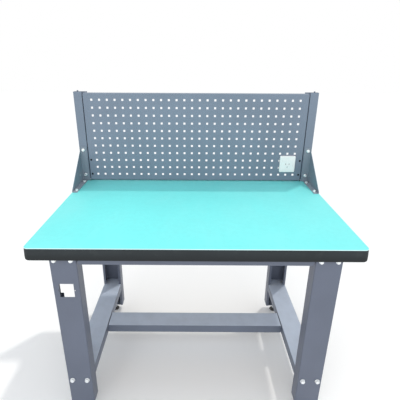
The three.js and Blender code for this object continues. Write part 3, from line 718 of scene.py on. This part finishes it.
def endTree(graph, geometry, material):
    whole = graph.add("GeometryNodeRealizeInstances", None, {"Geometry": geometry})
    coated = graph.add("GeometryNodeSetMaterial", None, {"Geometry": whole, "Material": material})
    graph.add("NodeGroupOutput", None, {"Geometry": coated})
    return graph.tree


def grown(piece, tree, values):  # runs a tree on a piece, with its inputs set by identifier
    modifier = piece.modifiers.new(tree.name, "NODES")
    modifier.node_group = tree
    for socket in tree.interface.items_tree:
        if socket.in_out == "INPUT" and socket.name in values:
            modifier[socket.identifier] = values[socket.name]
    return settled(piece)


def punchTree():
    kinds = {"Pitch": "Float", "Hole": "Float", "Columns": "Int", "Rows": "Int", "Through": "Float",
             "Middle": "Vector", "Socket": "Vector", "Clear Width": "Float", "Clear Height": "Float",
             "Extra Punches": "Object", "Finish": "Material"}
    graph, given = newTree("punchedHoles", kinds)
    spreadX = (given["Columns"] - 1) * given["Pitch"]
    spreadZ = (given["Rows"] - 1) * given["Pitch"]
    grid = graph.add("GeometryNodeMeshGrid", None, {
        "Size X": spreadX, "Size Y": spreadZ, "Vertices X": given["Columns"], "Vertices Y": given["Rows"]})
    upright = graph.add("GeometryNodeTransform", None, {
        "Geometry": grid, "Rotation": (math.pi / 2, 0, 0), "Translation": given["Middle"]})
    place = graph.add("GeometryNodeInputPosition")
    away = graph.add("ShaderNodeVectorMath", {"operation": "SUBTRACT"}, {0: place, 1: given["Socket"]})
    parts = {axis: graph.add("ShaderNodeSeparateXYZ", None, {0: away}, axis) for axis in "XZ"}
    near = (given["Clear Width"] > abs(parts["X"])) * (given["Clear Height"] > abs(parts["Z"]))
    kept = graph.add("GeometryNodeDeleteGeometry", {"domain": "POINT"}, {
        "Geometry": upright, "Selection": near})
    size = graph.add("ShaderNodeCombineXYZ", None, {
        "X": given["Hole"], "Y": given["Through"], "Z": given["Hole"]})
    punch = graph.add("GeometryNodeMeshCube", None, {"Size": size})
    punches = graph.add("GeometryNodeInstanceOnPoints", None, {"Points": kept, "Instance": punch})
    solid = graph.add("GeometryNodeRealizeInstances", None, {"Geometry": punches})
    extra = graph.add("GeometryNodeObjectInfo", None, {"Object": given["Extra Punches"]}, "Geometry")
    tools = graph.add("GeometryNodeJoinGeometry", None, {"Geometry": solid})
    graph.fill(tools.socket.node.inputs["Geometry"], extra)
    settings = {"operation": "DIFFERENCE", "solver": "EXACT"}
    pierced = graph.add("GeometryNodeMeshBoolean", settings, {"Mesh 1": given["Geometry"], "Mesh 2": tools})
    return endTree(graph, pierced, given["Finish"])


def makePanel():
    extra = extraCutters()
    scene.collection.objects.link(extra)
    piece = grown(panelTray(), punchTree(), {
        "Pitch": panel["pitch"], "Hole": panel["hole"], "Columns": panel["columns"], "Rows": panel["rows"],
        "Through": 2 * panel["through"], "Middle": (0, panel["front"], panel["middle"]),
        "Socket": (panel["socketX"], 0, panel["middle"] + panel["socketZ"]),
        "Clear Width": (panel["windowWidth"] + panel["hole"]) / 2,
        "Clear Height": (panel["windowHeight"] + panel["hole"]) / 2,
        "Extra Punches": extra, "Finish": finishes["panel"]})
    bpy.data.objects.remove(extra)
    bevelled(piece, panel["edge"])
    shown(evened(piece, panel["smooth"]), stands=["pegboard_panel"])
    print("panel made:", len(piece.data.polygons), "faces")


makePanel()


# Fasteners: each shape is made once, and a tree sets it on its places
thread = {"depth": 0.55, "endDepth": 0.6, "endSlope": 0.8, "stepsPerTurn": 4}  # depths in pitches


def hexagonRadius(across, angle):
    return across / 2 / math.cos((angle + math.pi / 6) % (math.pi / 3) - math.pi / 6)


def threadedRod(radius, pitch, low, high, sides):  # its ends are chamfered
    count = max(2, round((high - low) / (pitch / thread["stepsPerTurn"])))
    heights = [low + (high - low) * step / count for step in range(count + 1)]

    def radiusAt(angle, index):
        turn = (heights[index] / pitch - angle / (2 * math.pi)) % 1
        groove = radius - thread["depth"] * pitch * abs(2 * turn - 1)
        end = min(index, count - index) * (high - low) / count
        return min(groove, radius - thread["endDepth"] * pitch + end * thread["endSlope"])
    return turned(heights, radiusAt, sides)


boltHead = {
    "edge": 0.0003,  # broken edge of the flange
    "flangeStraight": 0.45,
    "neck": 0.0006,
    "neckHeight": 0.0004,
    "chamfer": ((0.0014, 0.001), (0.0007, -0.0006), (0.0002, -0.0018), (0, -0.0024)),  # down, past the corner
    "dish": 0.0006,
    "dishWidth": 0.24,
    "sides": 48,
    "rodSides": 18,
    "rodOverlap": 0.0006,
}


def flangeBolt(name, radius, flangeRadius, flangeHeight, across, headHeight, length, pitch):
    corner, edge = across / math.sqrt(3), boltHead["edge"]
    flange = [(0, flangeRadius - edge), (edge, flangeRadius)]
    flange += [(flangeHeight * boltHead["flangeStraight"], flangeRadius)]
    flange += [(flangeHeight, corner + boltHead["neck"])]
    head = [(flangeHeight + boltHead["neckHeight"], corner)]
    head += [(headHeight - down, corner + past) for down, past in boltHead["chamfer"]]
    head.append((headHeight - boltHead["dish"], across * boltHead["dishWidth"]))
    profile = flange + head

    def radiusAt(angle, index):
        widest = profile[index][1]
        return widest if index < len(flange) else min(hexagonRadius(across, angle), widest)
    shape = ringed(turned([z for z, _ in profile], radiusAt, boltHead["sides"]))
    rod = ringed(threadedRod(radius, pitch, -length, boltHead["rodOverlap"], boltHead["rodSides"]))
    return bpy.data.objects.new(name, fused(name, [shape, rod]))


screwHead = {
    "domeSteps": 5,
    "domeSweep": 76,
    "edge": 0.0003,
    "edgeWidth": 0.97,
    "crossWidth": 0.00084,
    "crossDepth": 0.55,
    "crossSpan": 1.15,
    "sides": 28,
    "rodSides": 12,
    "rodOverlap": 0.0002,
}


def panScrew(name, radius, headRadius, headHeight, length, pitch):
    edge, steps = screwHead["edge"], screwHead["domeSteps"]
    profile = [(0, headRadius * screwHead["edgeWidth"])]
    for step in range(steps + 1):
        sweep, rise = (math.radians(whole * step / steps) for whole in (screwHead["domeSweep"], 90))
        profile.append((edge + headHeight * math.sin(rise), headRadius * math.cos(sweep)))
    head = linked(name, ringed(lathed(profile, screwHead["sides"])))
    place = Matrix.Translation((0, 0, headHeight + edge))
    deep = headHeight * screwHead["crossDepth"] * 2
    size = Matrix.Diagonal((headRadius * screwHead["crossSpan"], screwHead["crossWidth"], deep, 1))
    cross = [block(place @ Matrix.Rotation(turn, 4, "Z") @ size) for turn in (0, math.pi / 2)]
    carved(head, cross, crossing=True)
    rod = ringed(threadedRod(radius, pitch, -length, screwHead["rodOverlap"], screwHead["rodSides"]))
    made = bpy.data.objects.new(name + "Whole", fused(name, [head.data, rod]))
    bpy.data.objects.remove(head)
    return made


def scatterTree():
    graph, given = newTree("fastenersOnPlaces", {
        "Fastener": "Object", "Size": "Float", "Turn": "Float", "Seed": "Int", "Finish": "Material"})
    facing = graph.add("GeometryNodeInputNamedAttribute", {"data_type": "FLOAT_VECTOR"}, {"Name": "facing"})
    seat = graph.add("FunctionNodeAlignRotationToVector", {"axis": "Z"}, {"Vector": facing})
    limits = {2: 0.0, 3: given["Turn"], 8: given["Seed"]}
    chance = graph.add("FunctionNodeRandomValue", {"data_type": "FLOAT"}, limits, 1)
    twist = graph.add("FunctionNodeAxisAngleToRotation", None, {"Axis": (0, 0, 1), "Angle": chance})
    twisted = graph.add("FunctionNodeRotateRotation", {"rotation_space": "LOCAL"}, {0: seat, 1: twist})
    shape = graph.add("GeometryNodeObjectInfo", None, {"Object": given["Fastener"]}, "Geometry")
    spread = graph.add("GeometryNodeInstanceOnPoints", None, {
        "Points": given["Geometry"], "Instance": shape, "Rotation": twisted, "Scale": given["Size"]})
    return endTree(graph, spread, given["Finish"])


scatter = scatterTree()


def scattered(name, fastener, seats, finishName, seed, stands=()):  # a seat is a place and a facing
    mesh = bpy.data.meshes.new(name)
    mesh.from_pydata([place for place, _ in seats], [], [])
    facing = mesh.attributes.new("facing", "FLOAT_VECTOR", "POINT")
    facing.data.foreach_set("vector", [level for _, direction in seats for level in direction])
    piece = linked(name, mesh)
    scene.collection.objects.link(fastener)
    fastener.data.materials.append(finishes[finishName])
    grown(piece, scatter, {
        "Fastener": fastener, "Size": 1.0, "Turn": 2 * math.pi, "Seed": seed, "Finish": finishes[finishName]})
    bpy.data.objects.remove(fastener)
    shown(smoothed(piece, 30), stands=stands)
    print(name, "made:", len(seats), "places,", len(piece.data.polygons), "faces")


def seatOf(nodeName, direction, headHeight):  # where a packed bolt's flange rests
    low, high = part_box(nodeName)
    middle, way = (low + high) / 2, Vector(direction)
    face = Vector(max(a * s, b * s) for a, b, s in zip(low, high, way))
    return middle + way * (face.dot(Vector(abs(s) for s in way)) - middle.dot(way) - headHeight)


frameBolt = {"radius": 0.005, "flangeRadius": 0.010, "flangeHeight": 0.0025, "across": 0.015,
             "headHeight": 0.009, "length": 0.0155, "pitch": 0.0015}
bracketBolt = {"radius": 0.004, "flangeRadius": 0.0085, "flangeHeight": 0.002, "across": 0.013,
               "headHeight": 0.0075, "length": 0.0115, "pitch": 0.00125}
topBolt = {**bracketBolt, "length": 0.0155}
footBolt = {**bracketBolt, "length": 0.0315}


def makeBolts():
    groups = {"frameBolts": (frameBolt, []), "topBolts": (topBolt, []),
              "bracketBolts": (bracketBolt, []), "footBolts": (footBolt, [])}
    for nodeName in sorted(nodes):
        if nodeName.startswith(("top_bolt", "rail_bolt")):
            group = "topBolts" if nodeName.startswith("top") else "frameBolts"
            groups[group][1].append((nodeName, (0, -1 if "_front_" in nodeName else 1, 0)))
        elif nodeName.startswith("cross_bolt"):
            groups["frameBolts"][1].append((nodeName, (1 if "_right_" in nodeName else -1, 0, 0)))
        elif nodeName.startswith("gusset_bolt"):
            groups["bracketBolts"][1].append((nodeName, (0, -1, 0)))
        elif nodeName.startswith("foot_bolt"):
            groups["footBolts"][1].append((nodeName, (0, 0, 1)))
    for seed, (name, (sizes, places)) in enumerate(groups.items()):
        seats = [(seatOf(nodeName, way, sizes["headHeight"]), way) for nodeName, way in places]
        bolt = flangeBolt(name + "Shape", **sizes)
        scattered(name, bolt, seats, "zinc", seed + 3, [nodeName for nodeName, _ in places])


makeBolts()


woodScrew = {"radius": 0.002, "headRadius": 0.0045, "headHeight": 0.0024, "length": 0.016, "pitch": 0.0018}
capPlug = {"radius": 0.0036, "headRadius": 0.005, "headHeight": 0.0011, "length": 0.004, "lip": 0.0007}
railPlug = {"radius": 0.0052, "headRadius": 0.0078, "headHeight": 0.0014, "length": 0.0055, "lip": 0.001}
panelScrew = {"radius": 0.0024, "headRadius": 0.0037, "headHeight": 0.0026, "length": 0.0035, "pitch": 0.0008}
coverScrew = {"radius": 0.0017, "headRadius": 0.0034, "headHeight": 0.0012, "length": 0.022, "pitch": 0.0007}


plugShape = {  # shares of length and radius from the tip, then of the head's height and radius
    "shank": ((1, 0.7), (0.8, 0.96), (0.55, 0.96), (0.4, 0.86)),
    "neck": (-0.0001, 0.86),
    "underside": 0.94,
    "cap": ((0.25, 1), (0.6, 0.97), (1, 0.84)),
    "dish": ((1, 2), (0.72, 3)),  # share of the head's height, and lips in from its edge
    "middle": (0.66, 0.2),
    "sides": 28,
}


def roundPlug(name, radius, headRadius, headHeight, length, lip):  # a dished cap on a snap-in shank
    profile = [(-length * along, radius * out) for along, out in plugShape["shank"]]
    profile += [(plugShape["neck"][0], radius * plugShape["neck"][1])]
    profile += [(0, headRadius * plugShape["underside"])]
    profile += [(headHeight * up, headRadius * out) for up, out in plugShape["cap"]]
    profile += [(headHeight * up, headRadius - lips * lip) for up, lips in plugShape["dish"]]
    profile += [(headHeight * plugShape["middle"][0], headRadius * plugShape["middle"][1])]
    return bpy.data.objects.new(name, ringed(lathed(profile, plugShape["sides"])))


screwPlaces = {
    "railTop": 0.7497,
    "railSheet": 0.0021,
    "beamY": (-0.333, 0.315),
    "beamX": (-0.36, -0.12, 0.12, 0.36),
    "railX": (-0.473, 0.473),
    "railY": (-0.22, 0.0, 0.2),
    "lipGap": 0.0002,
    "plugSink": -0.0001,
    "coverHead": 0.002,
    "coverSink": 0.0004,
}


def makeScrews():
    places, ahead = screwPlaces, (0, -1, 0)
    under = places["railTop"] - places["railSheet"]
    woodSeats = [((x, y, under), (0, 0, -1)) for y in places["beamY"] for x in places["beamX"]]
    woodSeats += [((x, y, under), (0, 0, -1)) for x in places["railX"] for y in places["railY"]]
    scattered("woodScrews", panScrew("woodScrew", **woodScrew), woodSeats, "zinc", 11)
    access = [accessPlace(side, row) for side in (-1, 1) for row in panel["accessRows"]]
    lipFront = panel["front"] + panel["depth"] - panel["sheet"] - places["lipGap"]
    panelSeats = [((x, lipFront, z), ahead) for x, z in access]
    scattered("panelScrews", panScrew("panelScrewHead", **panelScrew), panelSeats, "black", 12)
    # dark plugs fill the access holes as painted shade of the holes
    plugSeats = [((x, panel["front"] + places["plugSink"], z), ahead) for x, z in access]
    scattered("accessPlugs", roundPlug("accessPlug", **capPlug), plugSeats, "plug", 14)
    railSeats = []  # the outer wall of a lower rail, behind each cross bolt's head
    for sideName, side in (("left", -1), ("right", 1)):
        low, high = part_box("lower_side_rail_" + sideName)
        for end in ("front", "rear"):
            boltLow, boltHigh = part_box(f"cross_bolt_{sideName}_{end}")
            middle = (boltLow + boltHigh) / 2
            railSeats.append(((high.x if side > 0 else low.x, middle.y, middle.z), (side, 0, 0)))
    scattered("railPlugs", roundPlug("railPlug", **railPlug), railSeats, "foot", 15)
    names = ["socket_screw_left", "socket_screw_right"]
    sink = Vector((0, places["coverSink"], 0))
    coverSeats = [(seatOf(name, ahead, places["coverHead"]) + sink, ahead) for name in names]
    scattered("coverScrews", panScrew("coverScrewHead", **coverScrew), coverSeats, "zinc", 13, names)


makeScrews()


# Levelling feet and their lock nuts
foot = {
    "radius": 0.020,
    "height": 0.012,
    "rim": 0.005,
    "boss": 0.011,
    "tread": ((0, -0.004), (0, -0.0018), (0.0004, -0.0008), (0.0014, 0)),  # height, and past the radius
    "shoulder": ((-0.001, 0), (0, -0.0012), (0.0004, -0.004)),  # past the rim, and past the radius
    "slope": ((0.0066, 0.0147), (0.0078, 0.013), (0.0095, 0.0117)),
    "edge": 0.0006,
    "grips": 12,
    "gripDepth": 0.035,
    "stud": 0.006,
    "top": 0.084,
    "pitch": 0.00175,
    "flats": 0.010,
    "flatsTop": 0.019,
    "flatsChamfer": (0.0008, 0.9),
    "flatsWidest": 0.98,  # share of the stud
    "overlap": 0.0004,
    "sides": {"pad": 96, "flats": 36, "stud": 24},
}
lockNut = {
    "across": 0.019,
    "height": 0.008,
    "bore": 0.0063,
    "countersink": 0.0007,
    "chamfer": ((0, -0.0022), (0.0002, -0.0016), (0.0012, 0)),  # from either face, and past the corner
    "sides": 48,
}


def footMesh(x, y):
    radius, boss, rim, edge = foot["radius"], foot["boss"], foot["rim"], foot["edge"]
    profile = [(height, radius + past) for height, past in foot["tread"]]
    gripped = range(len(profile) - 1, len(profile) + 2)
    profile += [(rim + height, radius + past) for height, past in foot["shoulder"]]
    profile += [*foot["slope"], (foot["height"] - edge, boss), (foot["height"], boss - edge)]

    def padRadius(angle, index):  # small grip notches round the rim
        notch = foot["gripDepth"] * max(0.0, math.cos(foot["grips"] * angle)) ** 4
        return profile[index][1] * (1 - notch if index in gripped else 1)
    base = ringed(turned([z for z, _ in profile], padRadius, foot["sides"]["pad"]))
    low, high = foot["height"] - foot["overlap"], foot["flatsTop"]
    drop, narrowed = foot["flatsChamfer"]
    shape = [(low, 1), (high - drop, 1), (high, narrowed)]

    def flatsRadius(angle, index):
        return min(hexagonRadius(foot["flats"], angle) * shape[index][1], foot["stud"] * foot["flatsWidest"])
    flats = ringed(turned([z for z, _ in shape], flatsRadius, foot["sides"]["flats"]))
    start = high - foot["overlap"]
    rod = ringed(threadedRod(foot["stud"], foot["pitch"], start, foot["top"], foot["sides"]["stud"]))
    for part in (base, flats, rod):
        part.transform(Matrix.Translation((x, y, 0)))
    return base, fused("studParts", [flats, rod])


def nutRings():
    across, height, bore, sink = (lockNut[key] for key in ("across", "height", "bore", "countersink"))
    corner = across / math.sqrt(3)
    outer = [(up, corner + past) for up, past in lockNut["chamfer"]]
    outer += [(height - up, corner + past) for up, past in reversed(lockNut["chamfer"])]

    def outerRadius(angle, index):
        return min(hexagonRadius(across, angle), outer[index][1])
    rings = turned([z for z, _ in outer], outerRadius, lockNut["sides"])
    inner = [(height, bore + sink), (height - sink, bore), (sink, bore), (0, bore + sink)]
    return rings + lathed(inner, lockNut["sides"])


def makeFeet():
    nuts = []
    for nodeName in sorted(nodes):
        if nodeName.startswith("foot_lock_nut"):
            low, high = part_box(nodeName)
            mesh = ringed(nutRings(), closed=True)
            mesh.transform(Matrix.Translation(((low.x + high.x) / 2, (low.y + high.y) / 2, low.z)))
            nuts.append((nodeName, mesh))
        if nodeName.startswith("levelling_foot"):
            low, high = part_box(nodeName)
            body = nodeName.replace("levelling_", "")
            label = "".join(word.capitalize() for word in body.split("_")[1:])
            base, stud = footMesh((low.x + high.x) / 2, (low.y + high.y) / 2)
            pad = linked("footPad" + label, base, "foot")
            rod = linked("footStud" + label, stud, "zinc")
            shown(smoothed(pad, 35), body, [nodeName])
            shown(smoothed(rod, 30), body)
    piece = linked("lockNuts", fused("lockNuts", [mesh for _, mesh in nuts]), "zinc")
    shown(smoothed(piece, 30), stands=[name for name, _ in nuts])


makeFeet()
print("feet made")


# Socket: a white cover with an inset face, three slots with shutters behind
socket = {
    "width": 0.080,
    "height": 0.087,
    "thickness": 0.008,
    "corner": 0.005,
    "round": 0.0022,
    "flatInset": 0.0105,
    "seat": 0.0003,
    "face": 0.056,
    "faceCorner": 0.004,
    "faceSink": 0.0006,
    "groove": 0.0007,
    "insetCorner": 0.0034,
    "insetSteps": ((0, 0.0012), (0, 0.0004), (0.0005, 0), (0.004, 0)),
    "bodyWidth": 0.048,
    "bodyHeight": 0.050,
    "bodyDepth": 0.020,
    "bodyOverlap": 0.001,
    "slotWidth": 0.0024,
    "slotHeight": 0.008,
    "slotDepth": 0.006,
    "slotSpacing": 0.0176,
    "earthDrop": 0.016,
    "shutterWidth": 1.6,
    "shutterHeight": 1.2,
    "shutterDepths": (0.00125, 0.0016),
    "cutterReach": 0.002,
    "roundSteps": 6,
}


def plateRings(width, height, corner, steps):  # steps hold an inset and a distance behind the plate's front
    front = panel["front"] - socket["seat"] - socket["thickness"]
    middle = panel["middle"] + panel["socketZ"]
    rings = []
    for inset, back in steps:
        outline = roundedRectangle(width, height, [corner] * 4, inset, socket["roundSteps"])
        rings.append([(panel["socketX"] + x, front + back, middle + z) for x, z in outline])
    return ringed(rings)


def blockAt(x, z, width, height, front, back):  # across and up from the socket's middle
    size = Matrix.Diagonal((width, back - front, height, 1))
    place = (panel["socketX"] + x, (front + back) / 2, panel["middle"] + panel["socketZ"] + z)
    return block(Matrix.Translation(place) @ size)


def makeSocket():
    thickness, rounding, reach = socket["thickness"], socket["round"], socket["cutterReach"]
    front = panel["front"] - socket["seat"] - thickness
    rim = [(rounding - x, rounding - y) for x, y in arc((0, 0), rounding, 0, 90, socket["roundSteps"])]
    plate = [socket["width"], socket["height"], socket["corner"]]
    cover = plateRings(*plate, [(0, thickness)] + rim + [(socket["flatInset"], 0)])
    body = blockAt(0, 0, socket["bodyWidth"], socket["bodyHeight"],
                   front + thickness - socket["bodyOverlap"], front + thickness + socket["bodyDepth"])
    face = socket["face"]
    recess = plateRings(face, face, socket["faceCorner"], [(0, -reach), (0, socket["faceSink"])])
    width, height, deep = socket["slotWidth"], socket["slotHeight"], socket["slotDepth"]
    slots = [(-socket["slotSpacing"] / 2, 0), (socket["slotSpacing"] / 2, 0), (0, -socket["earthDrop"])]
    cuts = [blockAt(x, z, width, height, front - reach, front + deep) for x, z in slots]
    piece = carved(carved(linked("socketCover", cover, "socket"), [recess]), cuts)
    face -= 2 * socket["groove"]
    insetFace = plateRings(face, face, socket["insetCorner"], socket["insetSteps"])
    inner = linked("socketFace", insetFace, "socket")
    carved(inner, cuts)
    whole = linked("socketFront", fused("socketFront", [piece.data, inner.data, body]), "socket")
    bpy.data.objects.remove(piece)
    bpy.data.objects.remove(inner)
    shown(smoothed(whole, 35), stands=["socket_plate"])
    # dark shutters behind the slots: partly real shutters, partly painted shade inside the slots
    near, far = socket["shutterDepths"]
    wide, high = width * socket["shutterWidth"], height * socket["shutterHeight"]
    shutters = [blockAt(x, z, wide, high, front + near, front + far) for x, z in slots]
    dark = linked("slotShutters", fused("slotShutters", shutters), "shutter")
    shown(smoothed(dark))


makeSocket()
print("socket made")
